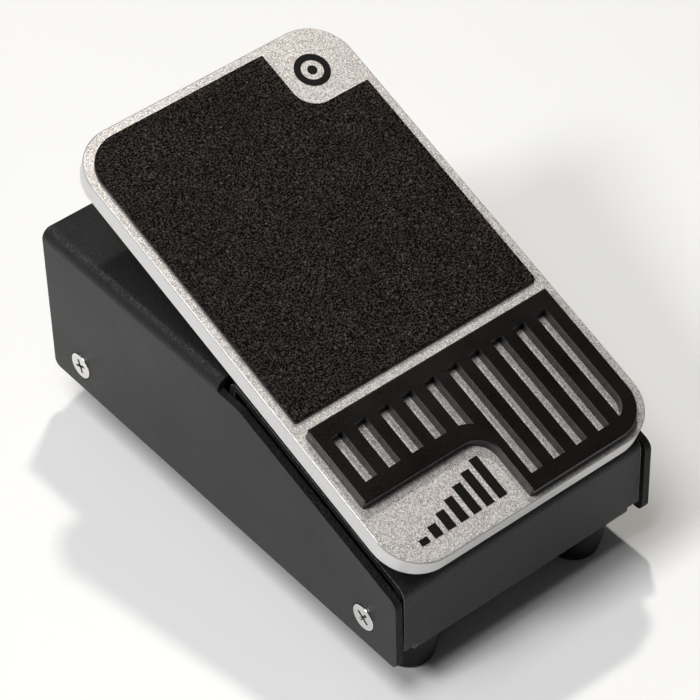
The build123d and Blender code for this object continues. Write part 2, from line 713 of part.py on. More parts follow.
def pot_track():
    """Phenolic wafer with the resistive track's three solder terminals."""
    wafer = slab_x(ring(7.3, SHAFT_RADIUS + 0.4, POT_Y, POT_Z), 0.2, 1.0)
    for y in pot_terminal_places():
        wafer += box((0.2, y - 1.1, POT_Z + 4.5), (0.8, y + 1.1, TERMINAL_TOP))
    return wafer


def pot_washer():
    return slab_x(ring(5.6, POT_BUSH_RADIUS + 0.1, POT_Y, POT_Z), 4.5, 5.0)


def pot_nut():
    nut = hexagon_nut(10.0, POT_BUSH_RADIUS, 2.0)
    return Pos(5.0, POT_Y, POT_Z) * Rot(0, 90, 0) * nut


def pot_bracket():
    """Angle bracket that stands on the bottom plate and holds the potentiometer's bushing."""
    heel, toe = POT_Y - 8.2, POT_Y + 8.2
    top = POT_Z + 8.0
    section = bent_strip([(4.5, top), (4.5, PAN_TOP), (-9.0, PAN_TOP)], [2.2], 1.5)
    bracket = slab_y(section, heel, toe)
    bracket = fillet(bracket.edges().filter_by(Axis.X).group_by(Axis.Z)[-1], 4.0)
    bracket -= slab_x(disc(POT_BUSH_RADIUS + 0.1, POT_Y, POT_Z), 2.5, 5.0)
    for x, y in pot_screw_places():
        bracket -= slab_z(disc(M3_RADIUS, x, y), PAN_TOP, PAN_TOP + 2)
    return bracket


def pot_bracket_screws():
    return [on_pan(x, y) * pan_head_screw(3.2) for x, y in pot_screw_places()]


# ================================================================ jacks
def lug_slots(x, margin):
    """Holes through the housing's roof for the two contacts' lugs."""
    slots = []
    for lug in (TIP_LUG, SLEEVE_LUG):
        low = (x + lug - 1.3 - margin, JACK_BACK + 2.0 - margin, JACK_Z + 5)
        high = (x + lug + 1.3 + margin, JACK_BACK + 2.0 + CONTACT_SHEET + margin, JACK_Z + 10)
        slots.append(box(low, high))
    return slots


def jack_housing(x):
    """Moulded box behind the toe wall, open at its back so that a plug's tip can come through."""
    front = TOE_WALL - PAN_SHEET
    outer = rectangle(
        (x - JACK_HALF_WIDTH, JACK_Z - JACK_HALF_HEIGHT), (x + JACK_HALF_WIDTH, JACK_Z + JACK_HALF_HEIGHT)
    )
    inner = rectangle(
        (x - JACK_HALF_WIDTH + JACK_WALL, JACK_Z - JACK_HALF_HEIGHT + JACK_WALL),
        (x + JACK_HALF_WIDTH - JACK_WALL, JACK_Z + JACK_HALF_HEIGHT - JACK_WALL),
    )
    housing = slab_y(outer, JACK_BACK, front)
    housing = fillet(housing.edges().filter_by(Axis.Y), 0.8)
    housing -= slab_y(inner, JACK_BACK, front - FRONT_WALL)
    housing -= slab_y(disc(BARREL_RADIUS, x, JACK_Z), front - FRONT_WALL, front)
    for slot in lug_slots(x, 0.05):
        housing -= slot
    return housing


def jack_barrel(x):
    """Threaded sleeve that a plug goes into, with a flange behind the housing's front wall."""
    seat = TOE_WALL - PAN_SHEET - FRONT_WALL
    end = TOE_WALL + BARREL_REACH
    barrel = slab_y(disc(BARREL_RADIUS, x, JACK_Z), seat, end)
    thread = ring(BARREL_RADIUS + 0.5, BARREL_RADIUS - 0.3, x, JACK_Z)
    barrel = chamfer(barrel.edges().group_by(Axis.Y)[-1], 0.4)
    for turn in range(2):
        groove = end - 0.75 - 0.55 * turn
        barrel -= slab_y(thread, groove - 0.3, groove)
    barrel += slab_y(disc(5.6, x, JACK_Z), seat - FLANGE_SHEET, seat)
    return barrel - slab_y(disc(PLUG_BORE, x, JACK_Z), seat - FLANGE_SHEET, end)


def strip(points, radii, x, lug):
    """Bent contact strip, drawn in (y, z)."""
    return slab_x(bent_strip(points, radii, -CONTACT_SHEET), x + lug - 1.3, x + lug + 1.3)


def jack_contacts(x):
    """Tip spring and sleeve strip, each with its solder lug above the housing."""
    back = JACK_BACK + 2.0
    seat = TOE_WALL - PAN_SHEET - FRONT_WALL - FLANGE_SHEET - CONTACT_SHEET
    ceiling = JACK_Z + 6.0
    dip = JACK_Z + PLUG_BORE + 0.25
    tip = [(back, LUG_TOP), (back, ceiling), (84, ceiling), (90.5, dip), (93, dip + 1.1)]
    sleeve = [(back, LUG_TOP), (back, ceiling), (seat, ceiling), (seat, JACK_Z + 3.8)]
    tip_strip = strip(tip, [0.6, 1.5, 1.2], x, TIP_LUG)
    sleeve_strip = strip(sleeve, [0.6, 0.8], x, SLEEVE_LUG)
    return [tip_strip, sleeve_strip]


def jack_washers():
    shape = Sketch() + [ring(7.0, BARREL_RADIUS + 0.1, side * JACK_X, JACK_Z) for side in (-1, 1)]
    return slab_y(shape, TOE_WALL, TOE_WALL + WASHER_SHEET)


def jack_nuts():
    nuts = []
    for side in (-1, 1):
        nut = Rot(0, 0, 15 * side) * hexagon_nut(12.7, BARREL_RADIUS, 2.2)
        nuts.append(Pos(side * JACK_X, TOE_WALL + WASHER_SHEET, JACK_Z) * Rot(-90, 0, 0) * nut)
    return nuts


# ================================================================ wiring
def wire(start, end, loft, via=()):
    """Insulated wire that rises from one lug, crosses over and comes down on the other."""
    points = [start, (start[0], start[1], loft), *via, (end[0], end[1], loft), end]
    runs = [Vector(*b) - Vector(*a) for a, b in zip(points, points[1:])]
    radii = []
    for before, after in zip(runs, runs[1:]):
        turn = radians(before.get_angle(after))
        radii.append(0.45 * min(before.length, after.length) / tan(turn / 2))
    return tube_along(points, radii, WIRE_RADIUS)


def lug_top(side, lug, shift=0.0):
    return (side * JACK_X + lug + shift, JACK_BACK + 2.2, LUG_TOP)


def wires():
    ground_lug, wiper_lug, input_lug = [(0.5, y, TERMINAL_TOP) for y in pot_terminal_places()]
    input_tip = lug_top(1, TIP_LUG)
    output_tip = lug_top(-1, TIP_LUG)
    output_sleeve = lug_top(-1, SLEEVE_LUG, -0.65)
    link_start = lug_top(-1, SLEEVE_LUG, 0.65)
    link_end = lug_top(1, SLEEVE_LUG)
    link_via = [(-5.0, 88.0, 29.0), (13.0, 88.0, 29.0)]
    return {
        "wire_input": wire(input_lug, input_tip, 30.0),
        "wire_output": wire(wiper_lug, output_tip, 31.6),
        "wire_ground": wire(ground_lug, output_sleeve, 29.4),
        "wire_link": wire(link_start, link_end, 29.0, link_via),
    }


# ================================================================ assembly
def pedal():
    """Every node's shape, by name."""
    nodes = {
        "cover_shell": cover_shell(),
        "base_pan": base_pan(),
        "side_screws": side_screws(),
        "foot_screws": foot_screws(),
        "foot_nuts": foot_nuts(),
        "pivot_bracket": pivot_bracket(),
        "pivot_bracket_screws": pivot_bracket_screws(),
        "pivot_shaft": pivot_shaft(),
        "shaft_clips": shaft_clips(),
        "thrust_washers": thrust_washers(),
        "bushing_left": bushing(-1),
        "bushing_right": bushing(1),
        "treadle_plate": treadle_plate(),
        "treadle_bracket": treadle_bracket(),
        "bracket_screws": bracket_screws(),
        "grip_pad": grip_pad(),
        "ribbed_pad": ribbed_pad(),
        "heel_mark": heel_mark(),
        "toe_mark": toe_mark(),
        "heel_bumper": heel_bumper(),
        "toe_bumper": toe_bumper(),
        "sector_gear": sector_gear(),
        "sector_screws": sector_screws(),
        "pinion_gear": pinion_gear(),
        "pinion_set_screw": pinion_set_screw(),
        "pot_shaft": pot_shaft(),
        "pot_wiper": pot_wiper(),
        "pot_base": pot_base(),
        "pot_can": pot_can(),
        "pot_track": pot_track(),
        "pot_washer": pot_washer(),
        "pot_nut": pot_nut(),
        "pot_bracket": pot_bracket(),
        "pot_bracket_screws": pot_bracket_screws(),
        "jack_washers": jack_washers(),
        "jack_nuts": jack_nuts(),
    }
    for name, x, y in foot_places():
        nodes[name] = rubber_foot(x, y)
    for name, side in (("output", -1), ("input", 1)):
        nodes[f"{name}_jack_housing"] = jack_housing(side * JACK_X)
        nodes[f"{name}_jack_barrel"] = jack_barrel(side * JACK_X)
        nodes[f"{name}_jack_contacts"] = jack_contacts(side * JACK_X)
    nodes.update(wires())
    return nodes


def main():
    os.makedirs("parts", exist_ok=True)
    to_origin = Location((0, HEEL_SHIFT, FOOT_DROP))
    for name, shape in pedal().items():
        if isinstance(shape, list):
            shape = Compound(children=[Compound(piece.solids()) for piece in shape])
        placed = Compound(shape.moved(to_origin).solids())
        export_step(placed, f"parts/{name}.step")
    print("heel edge at y", round(HEEL_SHIFT, 3))
    print("pivot at", round(PIVOT_Y + HEEL_SHIFT, 4), round(PIVOT_Z + FOOT_DROP, 4))
    print("potentiometer at", round(POT_Y + HEEL_SHIFT, 4), round(POT_Z + FOOT_DROP, 4))
    print("jack bores at z", JACK_Z + FOOT_DROP, "mouth y", TOE_WALL + BARREL_REACH + HEEL_SHIFT)


main()
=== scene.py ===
from math import cos, radians, sin

import bpy
from mathutils import Matrix, Vector

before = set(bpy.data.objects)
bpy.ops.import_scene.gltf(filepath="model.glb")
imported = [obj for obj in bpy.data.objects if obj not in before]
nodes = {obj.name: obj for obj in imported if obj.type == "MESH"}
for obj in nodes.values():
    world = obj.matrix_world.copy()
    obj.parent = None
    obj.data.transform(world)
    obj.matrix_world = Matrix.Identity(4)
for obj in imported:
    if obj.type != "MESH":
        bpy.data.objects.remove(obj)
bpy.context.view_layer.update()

# ---------------------------------------------------------------- camera
# Angles are in degrees, places and distances in metres, lens and sensor in millimetres.
VIEW_AZIMUTH = -38.438        # from behind the heel end, towards the pedal's left side
VIEW_ELEVATION = 44.188
VIEW_ROLL = -1.54
VIEW_DISTANCE = 0.6299
LENS = 177.27
SENSOR = 36.0
NEAREST = 0.01
FARTHEST = 20.0
AIM = Vector((0.0, 0.004135, 0.0346))
AIM_ACROSS = 0.004204         # from AIM to the middle of the view, across and up the view
AIM_UP = -0.004599


def make_camera():
    azimuth = radians(VIEW_AZIMUTH)
    elevation = radians(VIEW_ELEVATION)
    roll = radians(VIEW_ROLL)
    back = Vector((sin(azimuth) * cos(elevation), -cos(azimuth) * cos(elevation), sin(elevation)))
    level = Vector((0, 0, 1)).cross(back).normalized()
    upright = back.cross(level)
    across = level * cos(roll) + upright * sin(roll)
    up = upright * cos(roll) - level * sin(roll)
    target = AIM + across * AIM_ACROSS + up * AIM_UP
    data = bpy.data.cameras.new("camera")
    data.lens = LENS
    data.sensor_width = SENSOR
    data.clip_start = NEAREST
    data.clip_end = FARTHEST
    camera = bpy.data.objects.new("camera", data)
    axes = Matrix((across, up, back)).transposed().to_4x4()
    camera.matrix_world = Matrix.Translation(target + back * VIEW_DISTANCE) @ axes
    bpy.context.scene.collection.objects.link(camera)
    bpy.context.scene.camera = camera


# ---------------------------------------------------------------- materials
# The scales of noises and cells are per metre. Widths, heights and the depths of bumps are in
# metres. A pair called TONES runs from dark to light. A pair of limits says which values become
# the first and the second result, 0 and 1 if nothing else is said.
WHOLE = (0.0, 1.0)
MIDDLE = (0.3, 0.7)           # where nearly all of a noise's values lie
INVERTED = (1.0, 0.0)
EDGE_TURN = (0.995, 0.8)      # how far a rounded normal and the real one agree, off and on an edge
EDGE_SAMPLES = 4
CLOUD_DETAIL = 4.0


def plate_normal():
    """The treadle's top direction, from the grip pad's largest face."""
    widest = max(nodes["grip_pad"].data.polygons, key=lambda face: face.area)
    return widest.normal.copy() if widest.normal.z > 0 else -widest.normal


PLATE_UP = plate_normal()


class Graph:
    """Small helper for one material's nodes. All textures use the pedal's own metres."""

    def __init__(self, name):
        self.material = bpy.data.materials.new(name)
        self.material.use_nodes = True
        self.tree = self.material.node_tree
        self.shader = self.tree.nodes["Principled BSDF"]
        coordinates = self.tree.nodes.new("ShaderNodeTexCoord").outputs
        self.place = coordinates["Object"]
        self.facing = coordinates["Normal"]

    def put(self, socket, value):
        """Links the value to the socket or, if it is a plain one, sets it there."""
        if isinstance(value, bpy.types.NodeSocket):
            self.tree.links.new(value, socket)
        elif socket.type == "RGBA":
            socket.default_value = (*value, 1.0)
        else:
            socket.default_value = value

    def add(self, kind, inputs, **settings):
        node = self.tree.nodes.new(kind)
        for key, value in settings.items():
            setattr(node, key, value)
        for socket, value in inputs.items():
            self.put(node.inputs[socket], value)
        return node

    def noise(self, scale, detail=3.0, sharpness=0.55, place=None):
        inputs = {
            "Vector": place or self.place,
            "Scale": scale,
            "Detail": detail,
            "Roughness": sharpness,
        }
        return self.add("ShaderNodeTexNoise", inputs).outputs["Fac"]

    def cells(self, scale):
        """Three values, Red, Green and Blue, that differ at random from one small cell to the next."""
        cell = self.add("ShaderNodeTexVoronoi", {"Vector": self.place, "Scale": scale})
        return self.add("ShaderNodeSeparateColor", {"Color": cell.outputs["Color"]}).outputs

    def stretched(self, grain):
        node = self.add("ShaderNodeVectorMath", {0: self.place, 1: grain}, operation="MULTIPLY")
        return node.outputs["Vector"]

    def along_plate_up(self, vector):
        node = self.add("ShaderNodeVectorMath", {0: vector, 1: PLATE_UP}, operation="DOT_PRODUCT")
        return node.outputs["Value"]

    def tilt(self):
        """1 on faces that look the way the treadle's top does, 0 on its side walls."""
        return self.along_plate_up(self.facing)

    def height_in(self, pad):
        """Height above the lower face of one of the treadle's pads."""
        lower_face = min(vertex.co.dot(PLATE_UP) for vertex in nodes[pad].data.vertices)
        return self.math("SUBTRACT", self.along_plate_up(self.place), lower_face)

    def span(self, value, limits, results=WHOLE):
        inputs = {
            "Value": value,
            "From Min": limits[0],
            "From Max": limits[1],
            "To Min": results[0],
            "To Max": results[1],
        }
        return self.add("ShaderNodeMapRange", inputs).outputs["Result"]

    def math(self, operation, first, second=0.0):
        return self.add("ShaderNodeMath", {0: first, 1: second}, operation=operation).outputs["Value"]

    def blend(self, factor, first, second):
        node = self.add("ShaderNodeMix", {"Factor": factor}, data_type="RGBA")
        first_color, second_color = (socket for socket in node.inputs if socket.type == "RGBA")
        self.put(first_color, first)
        self.put(second_color, second)
        return next(socket for socket in node.outputs if socket.type == "RGBA")

    def edges(self, width):
        """1 near the piece's edges and 0 on its flats."""
        rounded = self.add("ShaderNodeBevel", {"Radius": width}, samples=EDGE_SAMPLES).outputs["Normal"]
        real = self.add("ShaderNodeNewGeometry", {}).outputs["Normal"]
        agree = self.add("ShaderNodeVectorMath", {0: rounded, 1: real}, operation="DOT_PRODUCT")
        return self.span(agree.outputs["Value"], EDGE_TURN)

    def bump(self, height, depth, strength, before=None):
        inputs = {"Height": height, "Distance": depth, "Strength": strength}
        if before is not None:
            inputs["Normal"] = before
        return self.add("ShaderNodeBump", inputs).outputs["Normal"]

    def fill_shader(self, **sockets):
        """Fills the shader's sockets, named in small letters with underscores."""
        for name, value in sockets.items():
            label = name.replace("_", " ").title().replace("Ior", "IOR")
            self.put(self.shader.inputs[label], value)
        return self.material


COAT_TONES = ((0.0080, 0.0080, 0.0082), (0.0165, 0.0165, 0.0168))
COAT_TONE_LIMITS = (0.4, 0.62)
COAT_ROUGH = (0.39, 0.46)
COAT_ROUGH_GRAIN = (-0.06, 0.06)
COAT_GRAIN_LIMITS = (0.4, 0.6)
COAT_GLOSS = 0.20
LACQUER = 0.12
LACQUER_ROUGH = 0.14
PEBBLE_SCALE = 2300.0
PEBBLE_DETAIL = 2.0
PEBBLE_SHARPNESS = 0.5
PEBBLE_DEPTH = 0.0002
GRAIN_SCALE = 5200.0
GRAIN_DETAIL = 2.0
GRAIN_DEPTH = 0.0001
COAT_BUMP = 0.8
SKIN_DEPTH = 0.0005
SKIN_BUMP = 1.0
COAT_CLOUD_SCALE = 60.0
BEND_START = (0.08, 0.3)      # of the sideways part of the surface's direction
BEND_END = (0.75, 0.45)
# Painted highlight: pale specks on the cover's bends stand in for glints of light.
BEND_GLINT_SCALE = 4800.0
BEND_GLINT_LIMITS = (0.45, 0.9)
BEND_GLINT_TONE = (0.058, 0.058, 0.058)
CUT_START = (0.1, 0.3)        # of the lengthways part of the surface's direction
CUT_TONES = ((0.0006, 0.0005, 0.0005), (0.010, 0.009, 0.008))
CUT_LIMITS = (0.45, 0.6)
CUT_EXTRA_ROUGH = 0.3
# Painted highlight: a pale line along the pan's edges.
EDGE_HIGHLIGHT_WIDTH = 0.00025
EDGE_HIGHLIGHT_LIMITS = (0.35, 0.55)
EDGE_HIGHLIGHT_TONE = (0.42, 0.41, 0.40)


def powder_coat(name, cut_edges):
    """Black powder coat with a fine pebbled skin.

    The cover's bends carry pale specks of painted highlight, and its cut sheet edges are darker and
    more matt.
    The pan's edges are painted paler, a painted highlight.
    """
    g = Graph(name)
    pebbles = g.noise(PEBBLE_SCALE, PEBBLE_DETAIL, PEBBLE_SHARPNESS)
    grain = g.noise(GRAIN_SCALE, GRAIN_DETAIL)
    clouds = g.noise(COAT_CLOUD_SCALE)
    tone = g.blend(g.span(grain, COAT_TONE_LIMITS), *COAT_TONES)
    fine_rough = g.span(grain, COAT_GRAIN_LIMITS, COAT_ROUGH_GRAIN)
    rough = g.math("ADD", g.span(clouds, MIDDLE, COAT_ROUGH), fine_rough)
    if cut_edges:
        direction = g.add("ShaderNodeSeparateXYZ", {"Vector": g.facing}).outputs
        sideways = g.math("ABSOLUTE", direction["X"])
        lengthways = g.math("ABSOLUTE", direction["Y"])
        bend = g.math("MULTIPLY", g.span(sideways, BEND_START), g.span(sideways, BEND_END))
        # Pale specks on the bends: a painted highlight.
        painted_bend_glints = g.math("MULTIPLY", bend, g.span(g.cells(BEND_GLINT_SCALE)["Red"], BEND_GLINT_LIMITS))
        tone = g.blend(painted_bend_glints, tone, BEND_GLINT_TONE)
        cut = g.span(lengthways, CUT_START)
        tone = g.blend(cut, tone, g.blend(g.span(pebbles, CUT_LIMITS), *CUT_TONES))
        rough = g.math("ADD", rough, g.math("MULTIPLY", cut, CUT_EXTRA_ROUGH))
    else:
        # A painted highlight: the pan's edges are painted paler.
        painted_edge_highlight = g.math("MULTIPLY", g.edges(EDGE_HIGHLIGHT_WIDTH), g.span(pebbles, EDGE_HIGHLIGHT_LIMITS))
        tone = g.blend(painted_edge_highlight, tone, EDGE_HIGHLIGHT_TONE)
    normal = g.bump(pebbles, PEBBLE_DEPTH, COAT_BUMP)
    normal = g.bump(grain, GRAIN_DEPTH, COAT_BUMP, normal)
    return g.fill_shader(
        base_color=tone,
        roughness=rough,
        normal=normal,
        specular_ior_level=COAT_GLOSS,
        coat_weight=LACQUER,
        coat_roughness=LACQUER_ROUGH,
        coat_normal=g.bump(pebbles, SKIN_DEPTH, SKIN_BUMP),
    )


FLECK_SCALE = 6000.0
FLECK_DARK_TONES = ((0.22, 0.21, 0.21), (0.32, 0.26, 0.24))
FLECK_LIGHT_TONE = (0.90, 0.875, 0.86)
HAZE_SCALE = 45.0
HAZE_SHARE = (0.0, 0.15)
HAZE_TONE = (0.60, 0.58, 0.57)
SATIN_SCALE = 7000.0
SATIN_DETAIL = 2.0
SATIN_TONES = ((0.68, 0.675, 0.67), (0.73, 0.725, 0.72))
TOP_TILT = (0.95, 0.99)
# Painted shade: a darker tone on the plate's rounded rim dims the light it catches.
PLATE_RIM_SHADE_TILT = (0.1, 0.4)
PLATE_RIM_SHADE_TONE = (0.45, 0.445, 0.44)
FLECK_ROUGH = (0.30, 0.42)
TOP_EXTRA_ROUGH = 0.10
FLECK_METALLIC = 0.5
FLECK_DEPTH = 0.00004
FLECK_BUMP = 0.6


def fleck_metal():
    """Light grey metal with fine flecks on top, a satin band round it and a rounded rim darkened by
    painted shade.
    """
    g = Graph("fleck_metal")
    flecks = g.cells(FLECK_SCALE)
    satin = g.noise(SATIN_SCALE, SATIN_DETAIL)
    haze = g.span(g.noise(HAZE_SCALE), MIDDLE, HAZE_SHARE)
    top = g.blend(flecks["Red"], g.blend(flecks["Blue"], *FLECK_DARK_TONES), FLECK_LIGHT_TONE)
    top = g.blend(haze, top, HAZE_TONE)
    upward = g.span(g.tilt(), TOP_TILT)
    # The rounded rim gets painted shade.
    painted_rim_shade = g.math("SUBTRACT", g.span(g.tilt(), PLATE_RIM_SHADE_TILT), upward)
    tone = g.blend(upward, g.blend(satin, *SATIN_TONES), top)
    tone = g.blend(painted_rim_shade, tone, PLATE_RIM_SHADE_TONE)
    fleck_rough = g.span(flecks["Green"], WHOLE, FLECK_ROUGH)
    rough = g.math("ADD", g.math("MULTIPLY", upward, TOP_EXTRA_ROUGH), fleck_rough)
    relief = g.math("MULTIPLY", g.math("ADD", flecks["Blue"], satin), upward)
    normal = g.bump(relief, FLECK_DEPTH, FLECK_BUMP)
    return g.fill_shader(base_color=tone, metallic=FLECK_METALLIC, roughness=rough, normal=normal)


GRIT_SCALE = 2900.0
GRIT_DETAIL = 1.5
GRIT_SHARPNESS = 0.6
GRIT_LIMITS = (0.45, 0.66)
GRIT_TONES = ((0.0003, 0.0003, 0.0003), (0.062, 0.050, 0.043))
# Painted glints: rare pale specks on the grit.
GLINT_SCALE = 3200.0
GLINT_LIMITS = (0.975, 0.99)
GLINT_SHARE = (0.0, 0.6)
GLINT_TONE = (0.13, 0.12, 0.11)
PATCH_SCALE = 140.0
PATCH_SHARPNESS = 0.6
PATCH_LIMITS = (0.35, 0.6)
PATCH_SHARE = (0.25, 0.0)
PATCH_TONE = (0.004, 0.0035, 0.003)
BACKING_HEIGHTS = (0.00066, 0.00060)
BACKING_TONE = (0.10, 0.10, 0.10)
GRIT_ROUGH = (0.4, 0.8)
GRIT_DEPTH = 0.0002
GRIT_BUMP = 0.8
GRIT_GLOSS = 0.05


def grit_sheet():
    """Coarse black grit with brownish tips and rare pale specks of painted glint, on a grey backing
    that shows at the sheet's edge.
    """
    g = Graph("grit_sheet")
    grains = g.noise(GRIT_SCALE, GRIT_DETAIL, GRIT_SHARPNESS)
    glints = g.cells(GLINT_SCALE)
    patches = g.noise(PATCH_SCALE, sharpness=PATCH_SHARPNESS)
    backing = g.span(g.height_in("grip_pad"), BACKING_HEIGHTS)
    tone = g.blend(g.span(grains, GRIT_LIMITS), *GRIT_TONES)
    # Rare pale specks: painted glints.
    tone = g.blend(g.span(glints["Red"], GLINT_LIMITS, GLINT_SHARE), tone, GLINT_TONE)
    tone = g.blend(g.span(patches, PATCH_LIMITS, PATCH_SHARE), tone, PATCH_TONE)
    tone = g.blend(backing, tone, BACKING_TONE)
    rough = g.span(glints["Green"], WHOLE, GRIT_ROUGH)
    above_backing = g.span(backing, WHOLE, INVERTED)
    relief = g.math("MULTIPLY", g.math("ADD", grains, glints["Blue"]), above_backing)
    normal = g.bump(relief, GRIT_DEPTH, GRIT_BUMP)
    return g.fill_shader(base_color=tone, roughness=rough, normal=normal, specular_ior_level=GRIT_GLOSS)


RUBBER_SCALE = 2600.0
RUBBER_CLOUD_SCALE = 90.0
RUBBER_ROUGH_GRAIN = (-0.04, 0.04)
RUBBER_DEPTH = 0.00003
RUBBER_BUMP = 0.4
# Painted light and shade on the ribbed pad's walls: darker low down, paler towards the upper rims.
PAD_RIM_LIGHT_HEIGHTS = (0.0006, 0.0023)
PAD_RIM_LIGHT_TILT = (0.5, 0.2)
PAD_RIM_LIGHT_TONE = (0.060, 0.058, 0.056)


def moulded_rubber(name, tones, rough, gloss, painted_rim_light=False):
    """Smooth black rubber. The ribbed pad's walls get painted light and shade, paler towards their
    upper rims.
    """
    g = Graph(name)
    fine = g.noise(RUBBER_SCALE)
    clouds = g.noise(RUBBER_CLOUD_SCALE, CLOUD_DETAIL)
    tone = g.blend(g.span(clouds, MIDDLE), *tones)
    if painted_rim_light:
        # Painted light and shade: the walls are paler higher up and darker low down.
        rim_light_rise = g.span(g.height_in("ribbed_pad"), PAD_RIM_LIGHT_HEIGHTS)
        rim_light_mask = g.math("MULTIPLY", g.math("MULTIPLY", rim_light_rise, rim_light_rise), g.span(g.tilt(), PAD_RIM_LIGHT_TILT))
        tone = g.blend(rim_light_mask, tone, PAD_RIM_LIGHT_TONE)
    roughness = g.math("ADD", g.span(clouds, MIDDLE, rough), g.span(fine, MIDDLE, RUBBER_ROUGH_GRAIN))
    normal = g.bump(fine, RUBBER_DEPTH, RUBBER_BUMP)
    return g.fill_shader(base_color=tone, roughness=roughness, normal=normal, specular_ior_level=gloss)


PLASTIC_SCALE = 1800.0
PLASTIC_CLOUD_SCALE = 120.0
PLASTIC_EDGE_WIDTH = 0.0001
PLASTIC_EDGE_SHARE = 0.3
PLASTIC_EDGE_GAIN = 1.3
PLASTIC_DEPTH = 0.00002
PLASTIC_BUMP = 0.3


def edge_tone(tone, gain):
    return tuple(min(gain * value, 1) for value in tone)


def plain_plastic(name, tones, rough, gloss=0.5):
    g = Graph(name)
    fine = g.noise(PLASTIC_SCALE)
    clouds = g.noise(PLASTIC_CLOUD_SCALE, CLOUD_DETAIL)
    tone = g.blend(g.span(clouds, MIDDLE), *tones)
    edge = g.math("MULTIPLY", g.edges(PLASTIC_EDGE_WIDTH), PLASTIC_EDGE_SHARE)
    tone = g.blend(edge, tone, edge_tone(tones[1], PLASTIC_EDGE_GAIN))
    roughness = g.span(fine, MIDDLE, rough)
    normal = g.bump(fine, PLASTIC_DEPTH, PLASTIC_BUMP)
    return g.fill_shader(base_color=tone, roughness=roughness, normal=normal, specular_ior_level=gloss)


SCRATCH_SCALE = 2400.0
SCRATCH_DETAIL = 4.0
SCRATCH_SHARPNESS = 0.6
METAL_CLOUD_SCALE = 150.0
METAL_ROUGH_CLOUDS = (-0.03, 0.03)
METAL_EDGE_WIDTH = 0.0002
METAL_EDGE_SHARE = 0.6
METAL_EDGE_GAIN = 1.2
SCRATCH_DEPTH = 0.00001
SCRATCH_BUMP = 0.5


def worked_metal(name, tones, rough, grain=(1, 1, 1)):
    """Bare or plated metal. The grain stretches its fine scratches along one axis."""
    g = Graph(name)
    scratches = g.noise(SCRATCH_SCALE, SCRATCH_DETAIL, SCRATCH_SHARPNESS, g.stretched(grain))
    clouds = g.noise(METAL_CLOUD_SCALE, CLOUD_DETAIL)
    tone = g.blend(g.span(clouds, MIDDLE), *tones)
    edge = g.math("MULTIPLY", g.edges(METAL_EDGE_WIDTH), METAL_EDGE_SHARE)
    tone = g.blend(edge, tone, edge_tone(tones[1], METAL_EDGE_GAIN))
    cloud_rough = g.span(clouds, MIDDLE, METAL_ROUGH_CLOUDS)
    roughness = g.math("ADD", g.span(scratches, MIDDLE, rough), cloud_rough)
    normal = g.bump(scratches, SCRATCH_DEPTH, SCRATCH_BUMP)
    return g.fill_shader(base_color=tone, metallic=1.0, roughness=roughness, normal=normal)


# A grain below 1 stretches the scratches along its axis.
LONG_GRAIN = (0.1, 1, 1)
LONGEST_GRAIN = (0.05, 1, 1)
METALS = {
    "zinc_plate": dict(tones=((0.55, 0.55, 0.56), (0.68, 0.68, 0.69)), rough=(0.22, 0.38)),
    "bracket_sheet": dict(
        tones=((0.46, 0.47, 0.48), (0.58, 0.59, 0.60)),
        rough=(0.32, 0.5),
        grain=LONG_GRAIN,
    ),
    "ground_shaft": dict(
        tones=((0.60, 0.60, 0.61), (0.70, 0.70, 0.71)),
        rough=(0.15, 0.28),
        grain=LONGEST_GRAIN,
    ),
    "bronze": dict(tones=((0.42, 0.27, 0.11), (0.55, 0.38, 0.17)), rough=(0.3, 0.5)),
    "brass": dict(tones=((0.66, 0.48, 0.20), (0.78, 0.60, 0.28)), rough=(0.22, 0.36)),
    "nickel": dict(tones=((0.66, 0.65, 0.63), (0.76, 0.75, 0.73)), rough=(0.08, 0.18)),
    "die_cast": dict(tones=((0.50, 0.50, 0.51), (0.62, 0.62, 0.63)), rough=(0.35, 0.5)),
}
PLASTICS = {
    "ink": dict(
        tones=((0.0045, 0.0035, 0.003), (0.0075, 0.0062, 0.0055)),
        rough=(0.5, 0.62),
        gloss=0.12,
    ),
    "black_moulding": dict(tones=((0.014, 0.014, 0.015), (0.022, 0.022, 0.023)), rough=(0.4, 0.55)),
    "nylon": dict(tones=((0.72, 0.71, 0.66), (0.80, 0.79, 0.74)), rough=(0.4, 0.55)),
    "phenolic_board": dict(tones=((0.16, 0.08, 0.035), (0.24, 0.12, 0.055)), rough=(0.45, 0.6)),
    "red_insulation": dict(tones=((0.42, 0.02, 0.015), (0.52, 0.03, 0.02)), rough=(0.25, 0.38)),
    "white_insulation": dict(tones=((0.70, 0.69, 0.65), (0.78, 0.77, 0.73)), rough=(0.25, 0.38)),
}
RUBBERS = {
    "foot_rubber": dict(
        tones=((0.0035, 0.0028, 0.0024), (0.006, 0.005, 0.0045)),
        rough=(0.45, 0.58),
        gloss=0.18,
    ),
    "rib_rubber": dict(
        tones=((0.0024, 0.0018, 0.0015), (0.0036, 0.0027, 0.0023)),
        rough=(0.26, 0.34),
        gloss=0.32,
        painted_rim_light=True,
    ),
}
